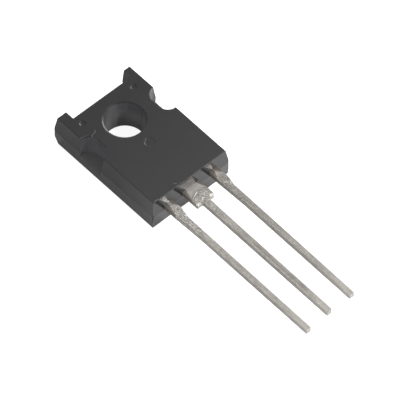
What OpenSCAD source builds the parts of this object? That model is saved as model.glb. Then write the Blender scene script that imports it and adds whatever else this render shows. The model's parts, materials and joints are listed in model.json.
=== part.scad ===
// Three-lead power transistor in a fully moulded package with a screw hole.
// It lies on its back face. The screw hole's axis is Z and the leads point along -Y.

/* [Moulded body] */
// Width of the body at the parting line
body_w = 7.78; // [7:0.02:9]
// Length of the body at the parting line, ears included
body_l = 11.12; // [10:0.02:13]
// Thickness of the body from its back to its front
body_t = 2.9; // [2.7:0.05:3.6]
// Height of the parting line, which is the underside of the leads
parting_z = 1.42; // [1.3:0.02:1.55]
// Draft of the front half's long sides, in degrees
front_draft = 9; // [1:0.5:10]
// Draft of the front half's two ends, in degrees
end_draft = 7; // [1:0.5:9]
// Draft of the back half, in degrees
back_draft = 3; // [1:0.5:6]
// Radius of the four upright corners
corner_r = 0.14; // [0.05:0.01:0.3]
// Radius of the edges round the front face
front_edge_r = 0.06; // [0.02:0.01:0.15]
// Radius of the edges round the back face
back_edge_r = 0.05; // [0.02:0.01:0.2]

/* [Ears] */
// Height of the ears above the recess between them
ear_h = 0.83; // [0.4:0.01:1]
// Width of the left ear at the parting line
left_ear_w = 1.08; // [0.6:0.01:1.4]
// Width of the right ear at the parting line
right_ear_w = 0.82; // [0.5:0.01:1.4]
// Slant cut of the ear tops towards the back face
ear_bevel = 0.34; // [0.1:0.02:0.5]
// Radius where the recess meets an ear
recess_r = 0.12; // [0.05:0.01:0.3]

/* [Screw hole] */
// Diameter of the screw hole
hole_d = 3.24; // [2.8:0.02:3.4]
// Distance of the hole's axis from the ear tops at the parting line
hole_inset = 3.7; // [3.5:0.01:3.9]
// Depth of the bevel round the hole's front rim
rim_bevel = 0.06; // [0.02:0.01:0.1]

/* [Side notches] */
// Radius of the two ends of the long notch in each long side
notch_r = 0.9; // [0.8:0.05:1.1]
// Distance between the middles of a notch's two ends
notch_l = 0.74; // [0.4:0.02:1]
// How far the notches reach in from the parting line
notch_depth = 1.16; // [0.6:0.01:1.2]
// Distance of the notches from the hole's axis, towards the leads
notch_drop = 0.42; // [0.2:0.02:0.8]
// Height of the notches' floor above the back face
notch_floor = 0.85; // [0.5:0.05:1.3]

/* [Mould marks] */
// Diameter of the two pin dimples beside the recess
dimple_d = 0.56; // [0.3:0.02:0.8]
// Depth of the pin dimples
dimple_depth = 0.06; // [0.03:0.01:0.12]
// Distance of each dimple from the centreline
dimple_x = 2.58; // [2.4:0.02:2.8]
// Distance of the dimples from the recess at the parting line
dimple_inset = 1; // [0.6:0.02:1.1]
// Diameter of the ejector mark
ejector_d = 0.9; // [0.4:0.02:1.2]
// Depth of the ejector mark
ejector_depth = 0.03; // [0.01:0.01:0.08]
// Distance of the ejector mark from the hole's axis, towards the leads
ejector_drop = 2.8; // [2.5:0.02:3.4]

/* [Leads] */
// Distance between the centres of neighbouring leads
lead_pitch = 2.3; // [2.1:0.01:2.54]
// Width of a lead below its shoulder
lead_w = 0.57; // [0.45:0.01:0.65]
// Width of a lead at its tip
tip_w = 0.5; // [0.4:0.01:0.6]
// Thickness of the sheet that the leads are stamped from
lead_t = 0.45; // [0.35:0.01:0.5]
// Length of the centre and base leads outside the body
lead_l = 15.42; // [10:0.02:18]
// Length by which the emitter lead is cut longer
emitter_extra = 0.2; // [0.02:0.02:0.4]
// Shift of the leads to the left of the middle of their shoulders
lead_shift = 0.03; // [0.01:0.01:0.1]
// How far the bent emitter lead's tip stands to the left of its root
emitter_lean = 0.06; // [0.02:0.01:0.2]
// How far the bent centre lead's tip stands to the left of its root
collector_lean = 0.08; // [0.02:0.01:0.2]
// How far the bent base lead's tip stands to the left of its root
base_lean = 0.1; // [0.02:0.01:0.2]
// Radius of the corners of the lead tips
tip_r = 0.09; // [0.03:0.01:0.18]
// Length of the wider shoulders outside the body
shoulder_l = 1.15; // [0.9:0.05:2]
// Length over which an outer lead narrows below its shoulder
shoulder_taper = 0.85; // [0.3:0.05:1.2]
// Stub of the cut tie bar on an outer lead's right side
stub_w = 0.17; // [0.05:0.01:0.25]
// Flare of an outer lead's shoulder on its left side
flare_w = 0.08; // [0.03:0.01:0.15]
// Length over which the flare runs out
flare_l = 2.6; // [1.5:0.1:3.5]
// Width of the centre lead's shoulder
centre_shoulder_w = 1.7; // [1.4:0.02:2]
// Length of the centre lead's shoulder outside the body
centre_shoulder_l = 1.66; // [1:0.02:2.4]
// Radius in the corners below the centre lead's shoulder
shoulder_r = 0.1; // [0.05:0.01:0.2]
// Radius of the centre lead's shoulder corners
shoulder_corner_r = 0.1; // [0.03:0.01:0.13]
// Length of the pressed bevel on the lower end of the centre lead's shoulder
facet_l = 0.16; // [0.1:0.02:0.4]
// Depth of that bevel
facet_h = 0.1; // [0.05:0.01:0.2]

/* [Bonding posts] */
// Width of the bonding post at an outer lead's inner end
post_w = 1.3; // [0.9:0.05:1.5]
// Length of the bonding post
post_l = 0.9; // [0.7:0.05:1.2]
// Distance of the post's middle from the chip's middle, towards the leads
post_drop = 1.63; // [1.5:0.01:1.8]
// Shift of the post from its lead towards the middle of the body
post_shift = 0.42; // [0.2:0.02:0.5]
// Radius of the corners of posts and die pad
stamping_r = 0.2; // [0.05:0.01:0.3]

/* [Die pad] */
// Width of the die pad
pad_w = 5.9; // [5.7:0.05:6.2]
// Height of the die pad's underside above the back face
pad_z = 0.62; // [0.5:0.02:0.75]
// Moulding between the die pad and the recess at the parting line
pad_top_wall = 0.5; // [0.4:0.02:0.6]
// Moulding between the screw hole and the die pad
hole_wall = 0.42; // [0.3:0.02:0.45]
// Moulding between a side notch and the die pad
notch_wall = 0.2; // [0.15:0.01:0.25]
// Strip of the die pad left beyond the solder, towards the leads
pad_margin = 0.15; // [0.05:0.01:0.3]
// Length of the slope from the die pad up to the centre lead
joggle_l = 0.8; // [0.6:0.05:1]

/* [Chip] */
// Side of the square chip
die_w = 1.9; // [1.6:0.05:2.2]
// Thickness of the chip
die_t = 0.24; // [0.2:0.01:0.26]
// Solder that shows past each side of the chip
solder_margin = 0.08; // [0.04:0.01:0.15]
// Thickness of the solder
solder_t = 0.04; // [0.03:0.01:0.06]
// Strip of the die pad left between its hole and the solder
die_gap = 0.13; // [0.05:0.01:0.3]

/* [Bonding wires] */
// Diameter of the bonding wires
wire_d = 0.15; // [0.1:0.01:0.2]
// Distance of each wire's foot on the chip from the centreline
foot_x = 0.72; // [0.5:0.02:0.78]
// Distance of the wires' feet on the chip from its edge nearest the leads
foot_inset = 0.22; // [0.18:0.01:0.3]

/* [Hidden] */
$fn = 48;
// Steps in each rounded corner of an outline
arc_steps = 5;
// Overshoot of cutting shapes past the surface that they cut
past = 1;
// Run of the sloping walls of rim and mould marks for each unit of depth
run = 2;

ear_top_y = hole_inset;
end_y = ear_top_y - body_l;
recess_y = ear_top_y - ear_h;
front_h = body_t - parting_z;
front_in = front_h * tan(front_draft);
end_in = front_h * tan(end_draft);
back_in = parting_z * tan(back_draft);
half_w = body_w / 2;

notch_x = half_w - notch_depth + notch_r;
dimple_y = recess_y - dimple_inset;

lead_z = parting_z;
lead_top = lead_z + lead_t;
tip_y = end_y - lead_l;
lead_half = lead_w / 2;

pad_hole_d = hole_d + 2 * hole_wall;
pad_top = pad_z + lead_t;
pad_top_y = recess_y - pad_top_wall;

solder_w = die_w + 2 * solder_margin;
die_y = -(pad_hole_d + solder_w) / 2 - die_gap;
die_z = pad_top + solder_t;
die_top = die_z + die_t;
pad_low_y = die_y - solder_w / 2 - pad_margin;
joggle_y = pad_low_y - joggle_l;

post_y = die_y - post_drop;
post_x = lead_pitch - post_shift;
foot_y = die_y - die_w / 2 + foot_inset;
wire_run = [post_x - foot_x, post_y - foot_y];
wire_span = norm(wire_run);

// Points of the fillet of radius r at corner b of an outline, coming from a and going to c
function fillet(a, b, c, r) =
    let (u = (a - b) / norm(a - b),
         v = (c - b) / norm(c - b),
         half = acos(u * v) / 2,
         centre = b + (u + v) / norm(u + v) * r / sin(half),
         from = b + u * r / tan(half) - centre,
         to = b + v * r / tan(half) - centre,
         start = atan2(from[1], from[0]),
         turn = atan2(from[0] * to[1] - from[1] * to[0], from * to))
    [for (i = [0:arc_steps])
        centre + r * [cos(start + turn * i / arc_steps), sin(start + turn * i / arc_steps)]];

// Outline through corners given as [x, y, fillet radius], sharp where the radius is zero
function outline(corners) =
    let (n = len(corners),
         at = [for (p = corners) [p[0], p[1]]])
    [for (i = [0:n - 1])
        each corners[i][2] > 0
            ? fillet(at[(i + n - 1) % n], at[i], at[(i + 1) % n], corners[i][2])
            : [at[i]]];

// Corners of a rectangle with one fillet radius
function rectangle(x0, y0, x1, y1, r) = [[x0, y0, r], [x1, y0, r], [x1, y1, r], [x0, y1, r]];

// Outline drawn in X and Z, extruded along Y from y0 to y1
module along_y(y0, y1, corners)
    translate([0, y1, 0])
        rotate([90, 0, 0])
            linear_extrude(y1 - y0)
                polygon(outline(corners));

// Outline drawn in Y and Z, extruded along X from x0 to x1
module along_x(x0, x1, corners)
    translate([x0, 0, 0])
        rotate([90, 0, 90])
            linear_extrude(x1 - x0)
                polygon(outline(corners));

// Flat stamping cut from the lead sheet, with its underside at height z
module stamping(z, corners)
    translate([0, 0, z])
        linear_extrude(lead_t)
            polygon(outline(corners));

// Block of the body: plan, cross section and long section, each with its draft
module drafted_block()
    intersection() {
        linear_extrude(body_t)
            polygon(outline(rectangle(-half_w, end_y, half_w, ear_top_y, corner_r)));
        along_y(end_y, ear_top_y, [
            [-half_w + back_in, 0, back_edge_r],
            [half_w - back_in, 0, back_edge_r],
            [half_w, parting_z, 0],
            [half_w - front_in, body_t, front_edge_r],
            [-half_w + front_in, body_t, front_edge_r],
            [-half_w, parting_z, 0]]);
        along_x(-half_w, half_w, [
            [end_y + back_in, 0, back_edge_r],
            [ear_top_y - back_in - ear_bevel, 0, back_edge_r],
            [ear_top_y - back_in, 2 * ear_bevel, back_edge_r],
            [ear_top_y, parting_z, 0],
            [ear_top_y - end_in, body_t, front_edge_r],
            [end_y + end_in, body_t, front_edge_r],
            [end_y, parting_z, 0]]);
    }

// Recess between the ears, with the draft of the body's sides
module recess_cut()
    intersection() {
        along_x(-half_w, half_w, [
            [recess_y - back_in, -past, 0],
            [ear_top_y + past, -past, 0],
            [ear_top_y + past, body_t + past, 0],
            [recess_y - end_in, body_t + past, 0],
            [recess_y - end_in, body_t, 0],
            [recess_y, parting_z, 0],
            [recess_y - back_in, 0, 0]]);
        translate([0, 0, -past])
            linear_extrude(body_t + 2 * past)
                polygon(outline(rectangle(left_ear_w - half_w, recess_y - ear_h,
                                          half_w - right_ear_w, ear_top_y + ear_h, recess_r)));
    }

module screw_hole_cut() {
    translate([0, 0, -past])
        cylinder(d = hole_d, h = body_t + 2 * past);
    translate([0, 0, body_t - rim_bevel])
        cylinder(d1 = hole_d, d2 = hole_d + 2 * run * (rim_bevel + past), h = rim_bevel + past);
}

// Long round-ended cuts at the two side notches, upwards from height z
module notch_shape(r, z)
    for (side = [-1, 1])
        translate([side * notch_x, -notch_drop, z]) {
            for (end = [-1, 1])
                translate([0, end * notch_l / 2, 0])
                    cylinder(r = r, h = body_t);
            translate([-r, -notch_l / 2, 0])
                cube([2 * r, notch_l, body_t]);
        }

// Shallow round mark in the front face, with a sloping wall
module mark_cut(x, y, d, depth)
    translate([x, y, body_t - depth])
        cylinder(d1 = d - 2 * run * depth, d2 = d + 2 * run * past, h = depth + past);

module mark_cuts() {
    for (side = [-1, 1])
        mark_cut(side * dimple_x, dimple_y, dimple_d, dimple_depth);
    mark_cut(0, -ejector_drop, ejector_d, ejector_depth);
}

// Outer lead with its stub and its post, which lies towards the body's middle
module outer_lead_shape(side) {
    x = side * lead_pitch - lead_shift;
    tip_x = x - (side < 0 ? emitter_lean : base_lean);
    end = side < 0 ? tip_y - emitter_extra : tip_y;
    shoulder_y = end_y - shoulder_l;
    stamping(lead_z, [
        [tip_x - tip_w / 2, end, tip_r],
        [tip_x + tip_w / 2, end, tip_r],
        [x + lead_half, shoulder_y - shoulder_taper, 0],
        [x + lead_half + stub_w, shoulder_y, 0],
        [x + lead_half + stub_w, post_y, 0],
        [x - lead_half - flare_w, post_y, 0],
        [x - lead_half - flare_w, shoulder_y, 0],
        [x - lead_half, shoulder_y - flare_l, 0]]);
    stamping(lead_z, rectangle(side * post_x - post_w / 2, post_y - post_l / 2,
                               side * post_x + post_w / 2, post_y + post_l / 2, stamping_r));
}

// Pressed bevel across the shoulder's lower end at y, from x0 to x1
module facet_cut(x0, x1, y)
    along_x(x0, x1, [
        [y + facet_l, lead_top, 0],
        [y, lead_top - facet_h, 0],
        [y - facet_l, lead_top - facet_h, 0],
        [y - facet_l, lead_top + facet_h, 0],
        [y + facet_l, lead_top + facet_h, 0]]);

// Centre lead, its slope down into the body, and the die pad round the screw hole
module collector_shape() {
    shoulder_half = centre_shoulder_w / 2;
    shoulder_y = end_y - centre_shoulder_l;
    tip_x = -lead_shift - collector_lean;
    neck_half = lead_half + lead_shift + shoulder_r;
    difference() {
        stamping(lead_z, [
            [tip_x - tip_w / 2, tip_y, tip_r],
            [tip_x + tip_w / 2, tip_y, tip_r],
            [lead_half - lead_shift, shoulder_y, shoulder_r],
            [shoulder_half, shoulder_y, shoulder_corner_r],
            [shoulder_half, joggle_y, 0],
            [-shoulder_half, joggle_y, 0],
            [-shoulder_half, shoulder_y, shoulder_corner_r],
            [-lead_half - lead_shift, shoulder_y, shoulder_r]]);
        facet_cut(-shoulder_half - past, -neck_half, shoulder_y);
        facet_cut(neck_half, shoulder_half + past, shoulder_y);
    }
    along_x(-shoulder_half, shoulder_half, [
        [joggle_y, lead_z, 0],
        [pad_low_y, pad_z, 0],
        [pad_low_y, pad_top, 0],
        [joggle_y, lead_top, 0]]);
    difference() {
        stamping(pad_z, rectangle(-pad_w / 2, pad_low_y, pad_w / 2, pad_top_y, stamping_r));
        translate([0, 0, pad_z - past])
            cylinder(d = pad_hole_d, h = lead_t + 2 * past);
        notch_shape(notch_r + notch_wall, pad_z - past);
    }
}

module solder_shape()
    translate([-solder_w / 2, die_y - solder_w / 2, pad_top])
        cube([solder_w, solder_w, solder_t]);

module die_shape()
    translate([-die_w / 2, die_y - die_w / 2, die_z])
        cube([die_w, die_w, die_t]);

// Bonding wire: a half ring from the post, with a straight leg down to the chip
module wire_shape(side)
    mirror([side > 0 ? 0 : 1, 0, 0])
        translate([foot_x, foot_y, 0])
            rotate([0, 0, atan2(wire_run[1], wire_run[0])]) {
                translate([wire_span / 2, 0, lead_top])
                    rotate([90, 0, 0])
                        rotate_extrude(angle = 180)
                            translate([wire_span / 2, 0])
                                circle(d = wire_d);
                translate([0, 0, die_top])
                    cylinder(d = wire_d, h = lead_top - die_top);
            }

module moulded_body()
    color([0.2, 0.2, 0.2])
        difference() {
            drafted_block();
            recess_cut();
            screw_hole_cut();
            notch_shape(notch_r, notch_floor);
            mark_cuts();
            collector_shape();
            for (side = [-1, 1]) {
                outer_lead_shape(side);
                wire_shape(side);
            }
            solder_shape();
            die_shape();
        }

module collector_lead()
    color([0.66, 0.64, 0.6])
        collector_shape();

module emitter_lead()
    color([0.66, 0.64, 0.6])
        outer_lead_shape(-1);

module base_lead()
    color([0.66, 0.64, 0.6])
        outer_lead_shape(1);

module die_solder()
    color([0.55, 0.55, 0.56])
        solder_shape();

module silicon_die()
    color([0.3, 0.32, 0.38])
        die_shape();

module emitter_wire()
    color([0.85, 0.85, 0.86])
        wire_shape(-1);

module base_wire()
    color([0.85, 0.85, 0.86])
        wire_shape(1);

moulded_body();
collector_lead();
emitter_lead();
base_lead();
die_solder();
silicon_die();
emitter_wire();
base_wire();
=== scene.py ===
"""Looks of a moulded three-lead transistor that lies on its back on a white table."""
import json
import math

import bpy
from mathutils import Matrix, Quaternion, Vector
from mathutils.noise import fractal

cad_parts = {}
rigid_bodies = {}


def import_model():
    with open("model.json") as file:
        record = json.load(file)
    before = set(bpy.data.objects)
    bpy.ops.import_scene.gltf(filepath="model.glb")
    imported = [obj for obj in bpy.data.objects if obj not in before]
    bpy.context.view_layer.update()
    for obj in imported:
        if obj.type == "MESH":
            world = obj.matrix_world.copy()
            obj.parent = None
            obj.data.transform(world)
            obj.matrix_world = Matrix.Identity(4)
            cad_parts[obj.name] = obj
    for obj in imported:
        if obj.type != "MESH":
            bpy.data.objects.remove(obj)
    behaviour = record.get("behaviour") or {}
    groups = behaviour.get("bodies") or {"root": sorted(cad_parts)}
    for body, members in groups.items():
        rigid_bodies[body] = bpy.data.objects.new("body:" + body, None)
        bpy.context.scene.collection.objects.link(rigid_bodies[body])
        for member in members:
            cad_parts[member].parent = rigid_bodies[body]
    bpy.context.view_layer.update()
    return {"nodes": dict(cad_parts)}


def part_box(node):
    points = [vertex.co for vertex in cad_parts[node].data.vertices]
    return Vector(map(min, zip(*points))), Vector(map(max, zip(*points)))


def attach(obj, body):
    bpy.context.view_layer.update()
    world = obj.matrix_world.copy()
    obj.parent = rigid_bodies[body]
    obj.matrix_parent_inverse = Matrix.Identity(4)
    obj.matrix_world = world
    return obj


for leftover in list(bpy.data.objects):
    bpy.data.objects.remove(leftover)
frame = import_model()

# Sizes in millimetres, with the part's own frame: the screw hole's axis is Z and the leads point along -Y
MM = 0.001
BODY_TOP_Z = (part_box("moulded_body")[1] / MM).z
LEAD_TOP_Z = (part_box("emitter_lead")[1] / MM).z
HOLE_R = 1.62
NOTCH_IN, NOTCH_LOW, NOTCH_HIGH, NOTCH_FLOOR = 2.73, -1.69, 0.85, 0.85
MASK_SLACK = 0.02

# Rounding of the leads' edges: width, steps, and the angles in degrees that count as flat and as an edge
LEAD_BEVEL = 0.035
BEVEL_SEGMENTS = 3
WELD_DISTANCE = 0.0005
FLAT_ANGLE = 0.5
EDGE_ANGLE = 40

# Camera: a long lens above the lead end's left corner
CAMERA_AZIMUTH = -42.575
CAMERA_ELEVATION = 53.555
CAMERA_DISTANCE = 754.6
CAMERA_AIM = Vector((-0.17, -8.595, 1.5))
VIEW_WIDTH = 29.991
CAMERA_ROLL = 0.303
SENSOR_WIDTH = 36.0
CLIP_END = 10

# Light
WORLD_STRENGTH = 0.35
WHITE = (1, 1, 1, 1)
FLOOR_COLOUR = (0.75, 0.75, 0.75, 1)
FLOOR_SEEN_WHITE = 0.85
FLOOR_MIRRORED_WHITE = 0.4
FLOOR_HALF = 1000
FLOOR_DROP = 0.02
KEY_PLACE, KEY_SIZE, KEY_POWER = Vector((124, -200, 212)), 95, 0.62
SIDE_PLACE, SIDE_SIZE, SIDE_POWER = Vector((270, 70, 110)), 120, 0.55
FILL_PLACE, FILL_SIZE, FILL_POWER = Vector((-255, -105, 120)), 160, 0.25

# Tones of the moulding compound
EPOXY_DARK = (0.009, 0.009, 0.0095, 1)
EPOXY_LIGHT = (0.016, 0.016, 0.0165, 1)
# Painted light: the moulding is paler toward the lead end
EPOXY_LEAD_END_LIGHT = (0.03, 0.03, 0.03, 1)
EPOXY_SPECK = (0.06, 0.06, 0.06, 1)
# Painted light: the flanks are paler toward the lead end
EPOXY_FLANK_LIGHT = (0.065, 0.065, 0.065, 1)
# Painted light that lifts the shaded floor of the left notch
LEFT_FLOOR_PAINTED_LIGHT = (0.15, 0.15, 0.155, 1)
# Tone of the scratches, also used for painted highlights on the ejector mark's rim and the front edge
SCRATCH_AND_HIGHLIGHT_TONE = (0.14, 0.14, 0.14, 1)
EPOXY_IOR = 1.55

# Painted light over the moulding, paler toward the lead end and most on the flanks, as (place, share) at the
# start and at the end
LEAD_END_LIGHT_FADE = (2, 0), (-7, 0.8)
FLANK_LIGHT_FADE = (-3.5, 0), (-7.4, 0.75)

# Painted light on the walls in the hole and the notches, paler than the moulding to lift their shade, and
# where it changes, from rim to deep
HOLE_RIM_LIGHT, HOLE_DEEP_LIGHT = (0.085, 0.085, 0.09, 1), (0.27, 0.27, 0.28, 1)
HOLE_DEPTH, HOLE_SLANT, HOLE_FAR = (2.6, 0.7), (-1.5, -0.35), (0, 1)
NOTCH_RIM_LIGHT, NOTCH_DEEP_LIGHT = (0.07, 0.07, 0.075, 1), (0.105, 0.105, 0.11, 1)
# Painted highlight: palest at the right notch's end
NOTCH_END_LIGHT = (0.12, 0.12, 0.125, 1)
NOTCH_DEPTH = (2.6, 1.2)
BESIDE_HOLE_X = NOTCH_IN - 0.1

# Marks on the front face, as lines through points: scratches, and two painted highlights
SCRATCHES_AND_HIGHLIGHTS = [
    [(-2.33, 0.86), (-2.38, 0.64), (-2.75, 0.57), (-3.02, 0.38), (-3.2, 0.16)],
    [(-3.64, 0.92), (-3.14, 0.81)],
    [(-1.3, -6.88), (-1.13, -7.05)],
    # painted highlight on the ejector mark's left rim
    [(-0.42, -2.76), (0, -2.38)],
    # painted highlight along the front edge near the left corner
    [(-3.52, -7.17), (-3.1, -7.19)],
]
MARK_LINE_HALF_WIDTH = 0.035

# Round mould marks whose slopes are as matt as the face: x, y, radius
FAINT_MARKS = [(0, -2.8, 0.55), (2.58, 1.87, 0.4)]

# Tones of the tin and of the bare metal beside it
TIN_DULL = (0.265, 0.246, 0.226, 1)
TIN_PALE = (0.365, 0.344, 0.318, 1)
BRIGHT_GRAIN = (0.85, 0.84, 0.8, 1)
DULL_GRAIN = (0.14, 0.135, 0.12, 1)
SPECKLE = (0.15, 0.14, 0.125, 1)
# Painted highlight: glints on the tin near the root
PAINTED_GLINT = (0.66, 0.64, 0.61, 1)
DARK_FLECK = (0.13, 0.12, 0.1, 1)
# Duller sheared metal and painted shade on the leads' sides
SHEARED_AND_SHADED_SIDE = (0.12, 0.11, 0.096, 1)
# Painted highlight on the cut ends that face the lamp
CUT_END_HIGHLIGHT = (0.6, 0.58, 0.55, 1)
PALE_TIP = (0.5, 0.48, 0.45, 1)
DARK_LINE_TONE = (0.13, 0.115, 0.098, 1)
# Painted light: the tin at the root is paler where it mirrors the dark body
ROOT_PAINTED_LIGHT = (0.56, 0.535, 0.5, 1)
# Painted highlight along the ridges in the solder
RIDGE_HIGHLIGHT = (0.95, 0.94, 0.9, 1)
BARE_METAL = (0.15, 0.138, 0.125, 1)
BARE_COPPER = (0.19, 0.135, 0.1, 1)

# Stretches of the leads along Y: the grainy part's fade, the smooth root, which also gets painted light, and
# the pale tip
GRAINY_FADE = -13, -9
ROOT_FADE = -8.3, -7.7
TIP_FADE = -19, -22.5

# Tin on the leads starts between two slanting lines at the root, each from (x, y) to (x, y)
TIN_EDGES = {
    "emitter_lead": (((-2.36, -7.4), (-2.62, -8.6)), ((-2.12, -7.7), (-1.84, -8.15))),
    "collector_lead": (((-0.52, -7.35), (-0.8, -8.4)), ((0.52, -7.35), (0.84, -8.2))),
    "base_lead": (((2.28, -7.5), (1.96, -8.2)), ((2.34, -7.5), (2.66, -8.05))),
}
COPPER_TINT = {"emitter_lead": 0.25, "collector_lead": 0.15, "base_lead": 0.6}

# How much darker the tin is at a lead's root, fading out along Y
LEAD_SHADE = {"emitter_lead": 0, "collector_lead": 0.15, "base_lead": 0.45}
SHADE_FROM_Y, SHADE_FULL_Y = -20, -9
SHADED = (0.16, 0.15, 0.135, 1)

# Dark lines along a lead, each drawn through points
DARK_LINES = {"collector_lead": [[(-0.06, -14.5), (-0.1, -20.2)], [(-0.02, -19.6), (-0.06, -20.1)]]}
DARK_LINE_HALF_WIDTH = 0.14

# Ridges in the solder, drawn with a painted highlight, as lines through points
RIDGES = {
    "emitter_lead": [[(-1.92, -8.25), (-1.9, -8.0)], [(-2.2, -9.0), (-2.02, -9.25)]],
    "collector_lead": [[(-0.66, -8.37), (-0.35, -8.21), (-0.02, -8.08)], [(0.18, -8.66), (0.28, -8.58)],
                       [(-0.2, -8.86), (-0.05, -8.78)], [(-0.62, -8.62), (-0.52, -8.5)]],
    "base_lead": [[(2.12, -8.72), (2.3, -8.98)], [(2.42, -9.2), (2.5, -9.05)]],
}
RIDGE_HALF_WIDTH = 0.045

# How much the tin at a lead's root is smooth enough to mirror the lamps
ROOT_SHINE = {"emitter_lead": 1.0, "collector_lead": 0.1, "base_lead": 0.6}

# Lumps of solder: lead, middle, half sizes, height
LUMPS = [
    ("collector_lead", (-0.02, -8.45), (0.6, 0.46), 0.07),
    ("emitter_lead", (-2.27, -9.05), (0.24, 0.45), 0.05),
    ("base_lead", (2.3, -9.15), (0.26, 0.5), 0.05),
    ("collector_lead", (-0.05, -9.75), (0.2, 0.35), 0.03),
]
LUMP_GRID = 40
LUMP_SINK = 0.01
LUMP_ROUND = 1.02

# Tones of the pieces inside
SOLDER_DARK, SOLDER_LIGHT = (0.36, 0.36, 0.37, 1), (0.52, 0.52, 0.53, 1)
SILICON_DARK, SILICON_LIGHT = (0.05, 0.06, 0.09, 1), (0.1, 0.11, 0.15, 1)
WIRE_DARK, WIRE_LIGHT = (0.7, 0.7, 0.71, 1), (0.82, 0.82, 0.83, 1)


def node(tree, kind, inputs=None, **settings):
    """A shader node with its settings, and its inputs set to values or linked to sockets."""
    made = tree.nodes.new(kind)
    for key, value in settings.items():
        setattr(made, key, value)
    for key, value in (inputs or {}).items():
        if isinstance(value, bpy.types.NodeSocket):
            tree.links.new(value, made.inputs[key])
        else:
            made.inputs[key].default_value = value
    return made


def math_node(tree, operation, *values):
    """Result of a math node."""
    made = node(tree, "ShaderNodeMath", dict(enumerate(values)), operation=operation)
    return made.outputs[0]


def times(tree, first, *others):
    """Product of several values."""
    product = first
    for other in others:
        product = math_node(tree, "MULTIPLY", product, other)
    return product


def vector_node(tree, operation, first, second=None, output=0):
    """Result of a vector math node with one or two inputs."""
    inputs = {0: first}
    if second is not None:
        inputs[1] = second
    return node(tree, "ShaderNodeVectorMath", inputs, operation=operation).outputs[output]


def scaled(tree, vector, factor):
    """A vector times a number."""
    return node(tree, "ShaderNodeVectorMath", {0: vector, "Scale": factor}, operation="SCALE").outputs[0]


def axes(tree, vector):
    """The X, Y and Z of a vector."""
    return node(tree, "ShaderNodeSeparateXYZ", {0: vector}).outputs


def facing_axes(tree):
    """The X, Y and Z of the way that the surface faces."""
    return axes(tree, node(tree, "ShaderNodeTexCoord").outputs["Normal"])


def noise(tree, vector, scale, detail=3.0, roughness=0.55):
    """Cloudy noise, with the scale per millimetre."""
    return node(tree, "ShaderNodeTexNoise",
                {"Vector": vector, "Scale": scale, "Detail": detail, "Roughness": roughness}).outputs[0]


def grains(tree, vector, scale):
    """A random value for each grain of a crystalline surface."""
    cells = node(tree, "ShaderNodeTexVoronoi", {"Vector": vector, "Scale": scale})
    return node(tree, "ShaderNodeSeparateColor", {0: cells.outputs["Color"]}).outputs[0]


def span(tree, value, low, high, to_low=0.0, to_high=1.0):
    """Smooth change of a value from one range to another."""
    inputs = {"Value": value, "From Min": low, "From Max": high, "To Min": to_low, "To Max": to_high}
    return node(tree, "ShaderNodeMapRange", inputs, interpolation_type="SMOOTHSTEP").outputs[0]


def ramped(tree, value, start, end):
    """Straight-line change through two (in, out) points, held beyond them."""
    inputs = {"Value": value, "From Min": start[0], "From Max": end[0], "To Min": start[1], "To Max": end[1]}
    return node(tree, "ShaderNodeMapRange", inputs).outputs[0]


def blend(tree, factor, first, second):
    """Colour between two colours."""
    made = node(tree, "ShaderNodeMix", data_type="RGBA")
    for index, value in ((0, factor), (6, first), (7, second)):
        if isinstance(value, bpy.types.NodeSocket):
            tree.links.new(value, made.inputs[index])
        else:
            made.inputs[index].default_value = value
    return made.outputs[2]


def new_material(name):
    """An empty node material, with the place on the part in millimetres."""
    material = bpy.data.materials.new(name)
    material.use_nodes = True
    tree = material.node_tree
    tree.nodes.clear()
    place = scaled(tree, node(tree, "ShaderNodeTexCoord").outputs["Object"], 1 / MM)
    return material, tree, place


def surface(tree, inputs, bump_height, bump_strength, bump_distance):
    """Principled surface with a bump, as the material's output."""
    bump = node(tree, "ShaderNodeBump", {"Height": bump_height, "Strength": bump_strength,
                                         "Distance": bump_distance * MM})
    shader = node(tree, "ShaderNodeBsdfPrincipled", {**inputs, "Normal": bump.outputs[0]})
    node(tree, "ShaderNodeOutputMaterial", {"Surface": shader.outputs[0]})


def line_mask(tree, place, lines, half_width):
    """1 on lines drawn in X and Y, falling to 0 at half_width from them."""
    flat = vector_node(tree, "MULTIPLY", place, (1, 1, 0))
    nearest = None
    for line in lines:
        for start, end in zip(line, line[1:]):
            a, b = Vector((*start, 0)), Vector((*end, 0))
            along = b - a
            offset = vector_node(tree, "SUBTRACT", flat, a)
            share = vector_node(tree, "DOT_PRODUCT", offset, along / along.length_squared, output=1)
            held = node(tree, "ShaderNodeClamp", {"Value": share}).outputs[0]
            away = vector_node(tree, "SUBTRACT", offset, scaled(tree, along, held))
            distance = vector_node(tree, "LENGTH", away, output=1)
            nearest = distance if nearest is None else math_node(tree, "MINIMUM", nearest, distance)
    return span(tree, nearest, half_width, 0.3 * half_width)


def round_mask(tree, place, x, y, radius):
    """1 within a radius of an upright axis."""
    flat = vector_node(tree, "MULTIPLY", place, (1, 1, 0))
    away = vector_node(tree, "DISTANCE", flat, (x, y, 0), output=1)
    return math_node(tree, "LESS_THAN", away, radius)


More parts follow.
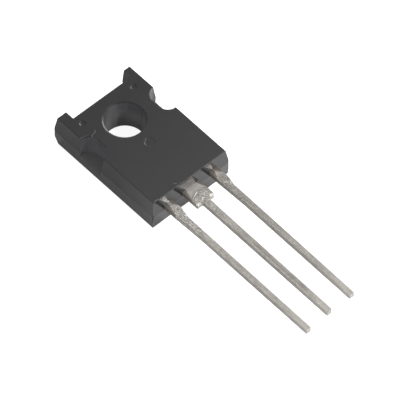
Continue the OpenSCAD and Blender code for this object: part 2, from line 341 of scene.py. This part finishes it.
def wall_masks(tree, place, spot, facing):
    """Masks of the walls in the hole and the notches, and of the left notch's floor, which gets painted
    light.
    """
    across = math_node(tree, "ABSOLUTE", spot["X"])
    notch = times(tree, math_node(tree, "GREATER_THAN", across, NOTCH_IN - MASK_SLACK),
                  math_node(tree, "GREATER_THAN", spot["Y"], NOTCH_LOW - MASK_SLACK),
                  math_node(tree, "LESS_THAN", spot["Y"], NOTCH_HIGH + MASK_SLACK),
                  math_node(tree, "GREATER_THAN", spot["Z"], NOTCH_FLOOR - MASK_SLACK))
    upright = span(tree, math_node(tree, "ABSOLUTE", facing["Z"]), 0.1, 0.02)
    level = math_node(tree, "GREATER_THAN", facing["Z"], 0.9)
    notch = times(tree, notch, math_node(tree, "MAXIMUM", upright, level))
    hole = round_mask(tree, place, 0, 0, HOLE_R + MASK_SLACK)
    below_rim = span(tree, spot["Z"], BODY_TOP_Z - 0.06, BODY_TOP_Z - 0.12)
    walls = times(tree, math_node(tree, "MAXIMUM", hole, notch), below_rim)
    painted_light_floor = times(tree, walls, level, math_node(tree, "LESS_THAN", spot["X"], 0))
    return walls, painted_light_floor


def hole_painted_light(tree, place, spot):
    """Painted light on the hole's wall, lifting its shade: paler deep down on the side away from the lead
    end, with drawn lines.
    """
    slant = math_node(tree, "SUBTRACT", spot["X"], spot["Y"])
    far = span(tree, math_node(tree, "ADD", spot["X"], spot["Y"]), *HOLE_FAR)
    deep = times(tree, span(tree, spot["Z"], *HOLE_DEPTH), span(tree, slant, *HOLE_SLANT), far)
    drawn = noise(tree, vector_node(tree, "MULTIPLY", place, (1, 1, 0.06)), scale=3, detail=2)
    deep = math_node(tree, "ADD", deep, span(tree, drawn, 0.35, 0.65, -0.06, 0.06))
    return blend(tree, deep, HOLE_RIM_LIGHT, HOLE_DEEP_LIGHT)


def notch_painted_light(tree, spot):
    """Painted light on the notches' walls, lifting their shade: a little paler deep down, and palest at the
    right notch's end as a painted highlight.
    """
    tone = blend(tree, span(tree, spot["Z"], *NOTCH_DEPTH), NOTCH_RIM_LIGHT, NOTCH_DEEP_LIGHT)
    right_end = times(tree, span(tree, spot["X"], 2, 2.5), span(tree, spot["Y"], 0, 0.5))
    return blend(tree, right_end, tone, NOTCH_END_LIGHT)


def wall_painted_light(tree, place, spot):
    """Painted light on the walls in the hole and the notches."""
    beside = math_node(tree, "GREATER_THAN", math_node(tree, "ABSOLUTE", spot["X"]), BESIDE_HOLE_X)
    return blend(tree, beside, hole_painted_light(tree, place, spot), notch_painted_light(tree, spot))


def scratch_and_highlight_mask(tree, place, spot):
    """1 on the broken lines of the scratches and of the painted highlights, on the front face alone."""
    top = span(tree, spot["Z"], BODY_TOP_Z - 0.1, BODY_TOP_Z - 0.05)
    broken = span(tree, noise(tree, place, scale=4), 0.3, 0.6)
    return times(tree, line_mask(tree, place, SCRATCHES_AND_HIGHLIGHTS, MARK_LINE_HALF_WIDTH), top, broken)


def epoxy_tone(tree, place, spot, facing, cloud):
    """Tone of the outer faces: clouded black, with painted light making it a little paler at the lead end,
    most of all on the flanks.
    """
    speck = span(tree, noise(tree, place, scale=9, detail=2), 0.66, 0.74)
    tone = blend(tree, cloud, EPOXY_DARK, EPOXY_LIGHT)
    # painted light, paler toward the lead end
    tone = blend(tree, ramped(tree, spot["Y"], *LEAD_END_LIGHT_FADE), tone, EPOXY_LEAD_END_LIGHT)
    tone = blend(tree, times(tree, speck, 0.2), tone, EPOXY_SPECK)
    # painted light on the flanks, paler toward the lead end
    flank = span(tree, math_node(tree, "ABSOLUTE", facing["X"]), 0.9, 0.97)
    return blend(tree, times(tree, flank, ramped(tree, spot["Y"], *FLANK_LIGHT_FADE)), tone, EPOXY_FLANK_LIGHT)


def epoxy_rough(tree, flat_face, end_face, cloud, walls):
    """Roughness: matt on the flat faces, smoother on the sides and smoothest on the lead end."""
    rough = ramped(tree, flat_face, (0, 0.22), (1, 0.42))
    rough = math_node(tree, "SUBTRACT", rough, times(tree, end_face, 0.13))
    rough = math_node(tree, "ADD", rough, times(tree, cloud, 0.06))
    return math_node(tree, "ADD", rough, times(tree, walls, 0.3))


def epoxy_shine(tree, flat_face, end_face, facing, walls):
    """Specular level: high on the polished lead end, low on the walls and on plumb sides."""
    shine = math_node(tree, "ADD", ramped(tree, flat_face, (0, 0.22), (1, 0.28)), times(tree, end_face, 0.5))
    shine = math_node(tree, "SUBTRACT", shine, times(tree, walls, 0.06))
    plumb = math_node(tree, "ABSOLUTE", facing["X"])
    return times(tree, shine, ramped(tree, plumb, (0.985, 1), (0.999, 0.5)))


def epoxy():
    """Black moulding compound: matt spark-eroded faces front and back, a polished lead end."""
    material, tree, place = new_material("epoxy_moulding")
    spot = axes(tree, place)
    facing = facing_axes(tree)
    flat_face = span(tree, math_node(tree, "ABSOLUTE", facing["Z"]), 0.8, 0.97)
    for x, y, radius in FAINT_MARKS:
        flat_face = math_node(tree, "MAXIMUM", flat_face, round_mask(tree, place, x, y, radius))
    end_face = span(tree, facing["Y"], -0.9, -0.97)
    cloud = noise(tree, place, scale=0.9, detail=4)
    grain = noise(tree, place, scale=22, detail=2)
    walls, painted_light_floor = wall_masks(tree, place, spot, facing)
    scratch_and_highlight = scratch_and_highlight_mask(tree, place, spot)
    tone = epoxy_tone(tree, place, spot, facing, cloud)
    # painted light on the walls of the hole and the notches, lifting their shade
    tone = blend(tree, walls, tone, wall_painted_light(tree, place, spot))
    # painted light that lifts the shaded floor of the left notch
    tone = blend(tree, painted_light_floor, tone, LEFT_FLOOR_PAINTED_LIGHT)
    # scratches, and painted highlights on the ejector mark's rim and the front edge
    tone = blend(tree, scratch_and_highlight, tone, SCRATCH_AND_HIGHLIGHT_TONE)
    rough = epoxy_rough(tree, flat_face, end_face, cloud, walls)
    shine = epoxy_shine(tree, flat_face, end_face, facing, walls)
    height = times(tree, grain, ramped(tree, flat_face, (0, 0.08), (1, 1.0)))
    height = math_node(tree, "SUBTRACT", height, scratch_and_highlight)
    inputs = {"Base Color": tone, "Roughness": rough, "IOR": EPOXY_IOR, "Specular IOR Level": shine}
    surface(tree, inputs, height, bump_strength=0.2, bump_distance=0.01)
    return material


def grainy(tree, place, spot, fleck, tone):
    """Adds bright and dull grains, specks, painted glints and flecks to the tin, strongest near the root."""
    near_root = span(tree, spot["Y"], *GRAINY_FADE, 0.3, 1)
    grain = grains(tree, place, scale=12)
    bright = times(tree, span(tree, grain, 0.7, 1), near_root, span(tree, fleck, 0.45, 0.6))
    tone = blend(tree, times(tree, bright, 0.6), tone, BRIGHT_GRAIN)
    speckle = span(tree, noise(tree, place, scale=9, detail=2, roughness=0.6), 0.5, 0.36)
    speckle = times(tree, speckle, ramped(tree, near_root, (0.3, 0.45), (1, 0.8)))
    tone = blend(tree, speckle, tone, SPECKLE)
    # painted glints, highlights of the lamps on the tin
    moved = vector_node(tree, "ADD", place, (7, 3, 5))
    painted_glint = span(tree, noise(tree, moved, scale=10, detail=1), 0.52, 0.66)
    painted_glint = times(tree, painted_glint, ramped(tree, near_root, (0.3, 0.35), (1, 0.8)))
    tone = blend(tree, painted_glint, tone, PAINTED_GLINT)
    dull = times(tree, span(tree, grain, 0.45, 0), near_root)
    tone = blend(tree, times(tree, dull, 0.5), tone, DULL_GRAIN)
    dark = times(tree, span(tree, fleck, 0.42, 0.3), near_root)
    return blend(tree, times(tree, dark, 0.6), tone, DARK_FLECK)


def wear_and_painted_light(tree, name, place, spot, facing, tone):
    """Adds the darker root, the sheared sides darkened partly as duller metal and partly by painted shade, a
    painted highlight on the cut end, the pale tip and the dark lines to the tin.
    """
    shade = ramped(tree, spot["Y"], (SHADE_FROM_Y, 0), (SHADE_FULL_Y, LEAD_SHADE[name]))
    tone = blend(tree, shade, tone, SHADED)
    # sides duller as sheared metal, and darker by painted shade
    sheared_and_shaded = span(tree, math_node(tree, "ABSOLUTE", facing["X"]), 0.6, 0.95, 0, 0.2)
    tone = blend(tree, sheared_and_shaded, tone, SHEARED_AND_SHADED_SIDE)
    # painted highlight on the cut ends that face the lamp
    tone = blend(tree, span(tree, facing["Y"], -0.7, -0.95, 0, 0.7), tone, CUT_END_HIGHLIGHT)
    tone = blend(tree, span(tree, spot["Y"], *TIP_FADE, 0, 0.35), tone, PALE_TIP)
    if name in DARK_LINES:
        dark_line = times(tree, line_mask(tree, place, DARK_LINES[name], DARK_LINE_HALF_WIDTH), 0.4)
        tone = blend(tree, dark_line, tone, DARK_LINE_TONE)
    return tone


def tinned_mask(tree, name, spot, lump):
    """1 where the lead is tinned, 0 on the bare metal beside the tin's first tongue."""
    wave = times(tree, math_node(tree, "SUBTRACT", lump, 0.5), 0.12)
    across = math_node(tree, "ADD", spot["X"], wave)
    left, right = TIN_EDGES[name]
    left_edge = ramped(tree, spot["Y"], left[0][::-1], left[1][::-1])
    right_edge = ramped(tree, spot["Y"], right[0][::-1], right[1][::-1])
    inside = math_node(tree, "MINIMUM", math_node(tree, "SUBTRACT", across, left_edge),
                       math_node(tree, "SUBTRACT", right_edge, across))
    tongue = span(tree, inside, -0.05, 0.06)
    full_from = left[1][1]
    return math_node(tree, "MAXIMUM", tongue, span(tree, spot["Y"], full_from + 0.1, full_from - 0.15))


def tin(name):
    """Dull dipped tin on a lead, with streaks along it and bare brown metal beside the tin's first tongue."""
    material, tree, place = new_material(name + "_tin")
    spot = axes(tree, place)
    facing = facing_axes(tree)
    stretched = vector_node(tree, "MULTIPLY", place, (1, 0.25, 1))
    streak = noise(tree, stretched, scale=4, detail=4, roughness=0.6)
    lump = noise(tree, place, scale=3.2, detail=3)
    fleck = noise(tree, place, scale=9, detail=3, roughness=0.7)
    tone = blend(tree, span(tree, streak, 0.3, 0.7), TIN_DULL, TIN_PALE)
    tone = grainy(tree, place, spot, fleck, tone)
    tone = wear_and_painted_light(tree, name, place, spot, facing, tone)
    # painted light at the root, where the tin mirrors the dark body
    tone = blend(tree, span(tree, spot["Y"], *ROOT_FADE, 0, 0.7), tone, ROOT_PAINTED_LIGHT)
    ridge_and_highlight = times(tree, line_mask(tree, place, RIDGES[name], RIDGE_HALF_WIDTH), 0.5)
    # painted highlight along the solder ridges
    tone = blend(tree, ridge_and_highlight, tone, RIDGE_HIGHLIGHT)
    tinned = tinned_mask(tree, name, spot, lump)
    copper = times(tree, span(tree, lump, 0.4, 0.65), COPPER_TINT[name])
    tone = blend(tree, tinned, blend(tree, copper, BARE_METAL, BARE_COPPER), tone)
    at_root = span(tree, spot["Y"], *ROOT_FADE, 0, ROOT_SHINE[name])
    rough = ramped(tree, fleck, (0.3, 0.3), (0.6, 0.58))
    rough = math_node(tree, "SUBTRACT", rough, times(tree, at_root, 0.14))
    height = math_node(tree, "ADD", lump, times(tree, fleck, 0.3))
    height = math_node(tree, "ADD", height, ridge_and_highlight)
    metal = ramped(tree, at_root, (0, 0.6), (1, 0.85))
    metal = times(tree, metal, ramped(tree, tinned, (0, 0.25), (1, 1)))
    inputs = {"Base Color": tone, "Metallic": metal, "Roughness": rough}
    surface(tree, inputs, height, bump_strength=0.4, bump_distance=0.04)
    return material


def solder():
    """Satin soft solder under the chip."""
    material, tree, place = new_material("soft_solder")
    cloud = noise(tree, place, scale=4, detail=3)
    tone = blend(tree, cloud, SOLDER_DARK, SOLDER_LIGHT)
    inputs = {"Base Color": tone, "Metallic": 1.0, "Roughness": 0.35}
    surface(tree, inputs, cloud, bump_strength=0.2, bump_distance=0.02)
    return material


def silicon():
    """Polished chip."""
    material, tree, place = new_material("silicon_chip")
    cloud = noise(tree, place, scale=2, detail=2)
    tone = blend(tree, cloud, SILICON_DARK, SILICON_LIGHT)
    inputs = {"Base Color": tone, "Metallic": 0.4, "Roughness": 0.12}
    surface(tree, inputs, cloud, bump_strength=0.05, bump_distance=0.005)
    return material


def wire():
    """Bright drawn bonding wire."""
    material, tree, place = new_material("drawn_wire")
    streak = noise(tree, place, scale=20, detail=2)
    tone = blend(tree, streak, WIRE_DARK, WIRE_LIGHT)
    inputs = {"Base Color": tone, "Metallic": 1.0, "Roughness": 0.25}
    surface(tree, inputs, streak, bump_strength=0.1, bump_distance=0.005)
    return material


def dress(name, material):
    """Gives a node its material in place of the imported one."""
    slots = frame["nodes"][name].data.materials
    slots.clear()
    slots.append(material)


def soften(name, width):
    """Rounds a node's sharp edges a little, as stamping and tinning leave them."""
    obj = frame["nodes"][name]
    weld = obj.modifiers.new("weld", "WELD")
    weld.merge_threshold = WELD_DISTANCE * MM
    merge = obj.modifiers.new("merge_flats", "DECIMATE")
    merge.decimate_type = "DISSOLVE"
    merge.angle_limit = math.radians(FLAT_ANGLE)
    bevel = obj.modifiers.new("edges", "BEVEL")
    bevel.width = width * MM
    bevel.segments = BEVEL_SEGMENTS
    bevel.limit_method = "ANGLE"
    bevel.angle_limit = math.radians(EDGE_ANGLE)
    bevel.harden_normals = True


def lump_height(u, v, seed):
    """Height of a wrinkled solder lump at u across and v along it, as a share of its full height."""
    rim = max(0.0, 1 - u * u - v * v)
    coarse = fractal(Vector((u * 1.6 + seed, v * 1.6, 0)), 1.0, 2.0, 3)
    fine = fractal(Vector((u * 6 + seed, v * 6, 3)), 1.0, 2.0, 2)
    return math.sqrt(rim) * (0.65 + 0.45 * coarse + 0.25 * fine)


def lump_points(middle, half, height):
    """Grid of points over a lump, which starts a little below the lead's top."""
    steps = range(LUMP_GRID + 1)
    seed = middle[0] * 7 + middle[1]
    points = []
    for i in steps:
        for j in steps:
            u, v = 2 * i / LUMP_GRID - 1, 2 * j / LUMP_GRID - 1
            z = LEAD_TOP_Z - LUMP_SINK + height * lump_height(u, v, seed)
            points.append(Vector((middle[0] + u * half[0], middle[1] + v * half[1], z)) * MM)
    return points


def lump_faces():
    """Squares of the grid that lie within the lump's round outline."""
    row = LUMP_GRID + 1
    faces = []
    for i in range(LUMP_GRID):
        for j in range(LUMP_GRID):
            u, v = (2 * i + 1) / LUMP_GRID - 1, (2 * j + 1) / LUMP_GRID - 1
            if u * u + v * v < LUMP_ROUND:
                faces.append((i * row + j, (i + 1) * row + j, (i + 1) * row + j + 1, i * row + j + 1))
    return faces


def make_lump(name, lead, middle, half, height):
    """Thin uneven lump of solder on top of a lead."""
    faces = lump_faces()
    mesh = bpy.data.meshes.new(name)
    mesh.from_pydata(lump_points(middle, half, height), [], faces)
    mesh.polygons.foreach_set("use_smooth", [True] * len(faces))
    mesh.materials.append(tins[lead])
    piece = bpy.data.objects.new(name, mesh)
    bpy.context.collection.objects.link(piece)
    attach(piece, "root")


def area_light(name, place, size, power, aim):
    """Square lamp that points at a place."""
    lamp = bpy.data.lights.new(name, "AREA")
    lamp.size = size * MM
    lamp.energy = power
    obj = bpy.data.objects.new(name, lamp)
    obj.location = place * MM
    obj.rotation_euler = (aim - place).to_track_quat("-Z", "Y").to_euler()
    bpy.context.collection.objects.link(obj)


def seen_rays(tree, camera, mirrored):
    """Strength for rays from the camera or through glass, and for rays off a glossy surface."""
    path = node(tree, "ShaderNodeLightPath").outputs
    direct = math_node(tree, "MAXIMUM", path["Is Camera Ray"], path["Is Transmission Ray"])
    glossy = times(tree, path["Is Glossy Ray"], mirrored)
    return math_node(tree, "MAXIMUM", times(tree, direct, camera), glossy)


def table_material():
    """White table that takes shadows and looks white to the camera and in reflections."""
    material = bpy.data.materials.new("white_table")
    material.use_nodes = True
    tree = material.node_tree
    tree.nodes.clear()
    lit = node(tree, "ShaderNodeBsdfDiffuse", {"Color": FLOOR_COLOUR})
    strength = seen_rays(tree, FLOOR_SEEN_WHITE, FLOOR_MIRRORED_WHITE)
    glow = node(tree, "ShaderNodeEmission", {"Strength": strength})
    both = node(tree, "ShaderNodeAddShader", {0: lit.outputs[0], 1: glow.outputs[0]})
    node(tree, "ShaderNodeOutputMaterial", {"Surface": both.outputs[0]})
    return material


def make_floor():
    """Flat table just under the part."""
    half = FLOOR_HALF * MM
    drop = -FLOOR_DROP * MM
    corners = [(-half, -half, drop), (half, -half, drop), (half, half, drop), (-half, half, drop)]
    mesh = bpy.data.meshes.new("floor")
    mesh.from_pydata(corners, [], [(0, 1, 2, 3)])
    floor = bpy.data.objects.new("floor", mesh)
    bpy.context.collection.objects.link(floor)
    mesh.materials.append(table_material())


def make_world():
    """Even white studio, dim as a light and white where it is seen."""
    world = bpy.data.worlds.new("studio")
    bpy.context.scene.world = world
    world.use_nodes = True
    tree = world.node_tree
    tree.nodes.clear()
    strength = math_node(tree, "MAXIMUM", seen_rays(tree, 1.0, 1.0), WORLD_STRENGTH)
    sky = node(tree, "ShaderNodeBackground", {"Color": WHITE, "Strength": strength})
    node(tree, "ShaderNodeOutputWorld", {"Surface": sky.outputs[0]})


def make_camera():
    """Camera at the photograph's viewing angle."""
    azimuth, elevation = math.radians(CAMERA_AZIMUTH), math.radians(CAMERA_ELEVATION)
    back = Vector((math.sin(azimuth) * math.cos(elevation), -math.cos(azimuth) * math.cos(elevation),
                   math.sin(elevation)))
    data = bpy.data.cameras.new("camera")
    data.sensor_fit = "HORIZONTAL"
    data.sensor_width = SENSOR_WIDTH
    data.lens = SENSOR_WIDTH * CAMERA_DISTANCE / VIEW_WIDTH
    data.clip_end = CLIP_END
    camera = bpy.data.objects.new("camera", data)
    camera.location = (CAMERA_AIM + back * CAMERA_DISTANCE) * MM
    roll = Quaternion((0, 0, 1), math.radians(CAMERA_ROLL))
    camera.rotation_euler = (back.to_track_quat("Z", "Y") @ roll).to_euler()
    bpy.context.collection.objects.link(camera)
    bpy.context.scene.camera = camera


dress("moulded_body", epoxy())
tins = {name: tin(name) for name in TIN_EDGES}
for name, material in tins.items():
    dress(name, material)
    soften(name, LEAD_BEVEL)
dress("die_solder", solder())
dress("silicon_die", silicon())
bond_wire = wire()
for name in ("emitter_wire", "base_wire"):
    dress(name, bond_wire)
for index, (lead, middle, half, height) in enumerate(LUMPS):
    make_lump(f"solder_lump_{index + 1}", lead, middle, half, height)

make_floor()
make_world()
area_light("key", KEY_PLACE, KEY_SIZE, KEY_POWER, CAMERA_AIM)
area_light("side", SIDE_PLACE, SIDE_SIZE, SIDE_POWER, CAMERA_AIM)
area_light("fill", FILL_PLACE, FILL_SIZE, FILL_POWER, CAMERA_AIM)
make_camera()
bpy.context.scene.view_settings.view_transform = "Standard"
